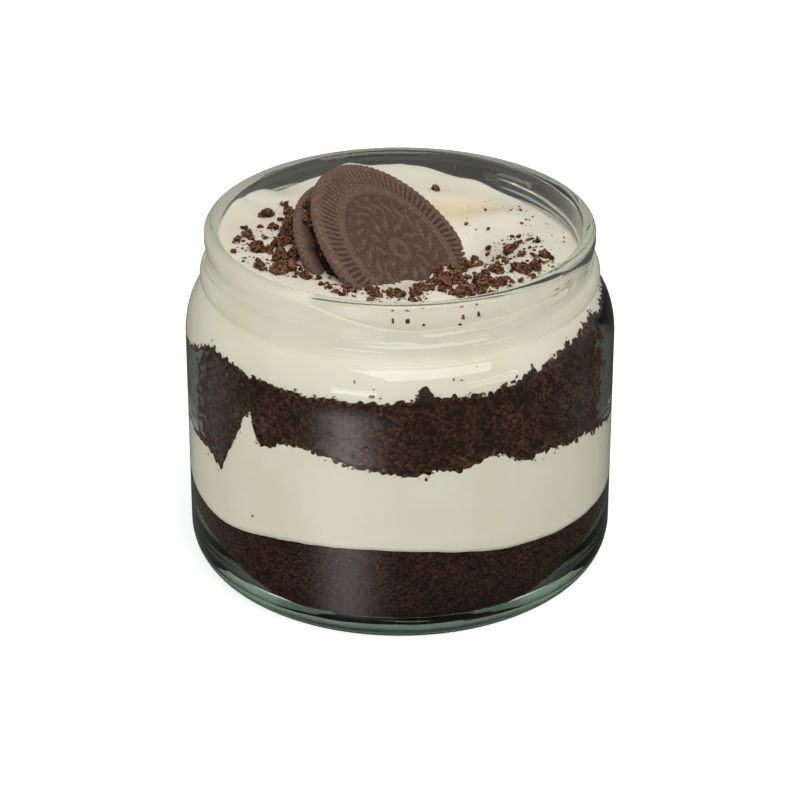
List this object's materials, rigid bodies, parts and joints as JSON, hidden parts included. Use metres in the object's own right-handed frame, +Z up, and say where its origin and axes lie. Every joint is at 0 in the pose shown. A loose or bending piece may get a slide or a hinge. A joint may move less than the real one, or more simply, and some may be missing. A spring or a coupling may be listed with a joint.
{
  "type": "layered chocolate crumb and cream dessert in a glass jar",
  "caption": "Squat wide-mouth glass jar of layered chocolate crumb and swirled cream, with a sandwich cookie leaning in the top and scattered crumbs.",
  "frame": {"origin": "middle of the ring that the jar stands on, at the height of the surface under it", "axes": "+Z up along the jar's axis, -Y towards the side that the picture shows, +X to the right there"},
  "size_m": [0.089, 0.089, 0.0849],
  "materials": {
    "jar_glass": "clear, polished, faintly green",
    "crumb": "dry, dark brown, granular",
    "cream": "soft satin, pale ivory",
    "wafer": "dry baked, dark brown, dusty",
    "filling": "dull, dark brown with crumbs"
  },
  "bodies": {
    "root": {"jar": "jar_glass", "crumb_base": "crumb", "cream_middle": "cream", "crumb_middle": "crumb", "cream_top": "cream", "cookie_front_wafer": "wafer", "cookie_filling": "filling", "cookie_back_wafer": "wafer"}
  },
  "joints": []
}
